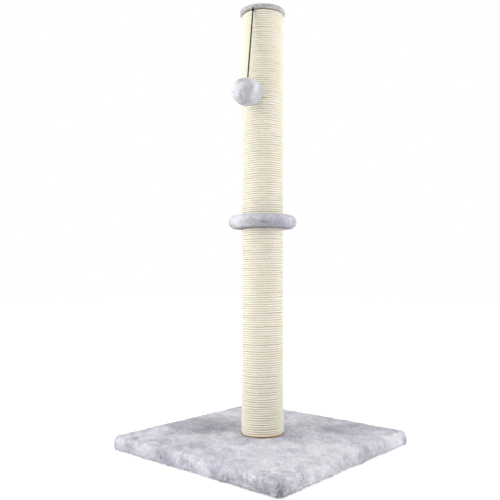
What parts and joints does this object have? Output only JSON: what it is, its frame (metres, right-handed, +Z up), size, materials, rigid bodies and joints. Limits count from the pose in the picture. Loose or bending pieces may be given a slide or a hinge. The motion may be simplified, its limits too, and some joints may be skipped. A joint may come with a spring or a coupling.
{
  "type": "cat scratching post",
  "caption": "Free-standing cat scratching post: square plush base, two sisal-wound posts with a plush ring between them, a plush cap and a plush ball hanging on an elastic cord.",
  "frame": {"origin": "on the floor under the middle of the square base, on the posts' common axis", "axes": "+Z up along the posts; X and Y along the edges of the base, with the toy on the -Y side"},
  "size_m": [0.4, 0.4, 0.839],
  "materials": {
    "plush": "short soft pile, light lavender grey",
    "sisal": "close-wound natural sisal rope, cream, matt",
    "board": "raw particle board and softwood, hidden",
    "cardboard": "plain kraft cardboard tube, hidden",
    "backing": "dark non-woven cloth",
    "steel": "zinc-plated steel",
    "cord": "round black braided elastic",
    "ball_plush": "short soft pile, pale grey",
    "filling": "loose polyester filling, hidden"
  },
  "bodies": {
    "post": {"base_board": "board", "base_plush": "plush", "base_backing": "backing", "hem_staples": "steel", "base_bolt": "steel", "lower_tube": "cardboard", "lower_sisal": "sisal", "upper_tube": "cardboard", "upper_sisal": "sisal", "tube_plugs": "board", "threaded_inserts": "steel", "rope_staples": "steel", "ring_stud": "steel", "ring_board": "board", "ring_plush": "plush", "cap_disc": "board", "cap_plush": "plush", "cap_staples": "steel", "toy_anchor": "cord"},
    "toy_knot": {"toy_knot": "cord"},
    "toy_cord": {"toy_cord": "cord"},
    "toy_ball": {"ball_cover": "ball_plush", "ball_filling": "filling"}
  },
  "joints": [
    {"name": "swing_out", "type": "hinge", "parent": "post", "child": "toy_knot", "pos_m": [0.01103, -0.04115, 0.8269], "axis": [-0.9659, -0.2588, 0], "range_deg": [0, 80]},
    {"name": "swing_side", "type": "hinge", "parent": "toy_knot", "child": "toy_cord", "pos_m": [0.01103, -0.04115, 0.8269], "axis": [0.2555, -0.9534, 0.1605], "range_deg": [-75, 75]},
    {"name": "cord_stretch", "type": "slide", "parent": "toy_cord", "child": "toy_ball", "axis": [0.0415, -0.155, -0.987], "range_m": [0, 0.06], "stiffness_N_per_m": 20, "springref_m": -0.008}
  ]
}
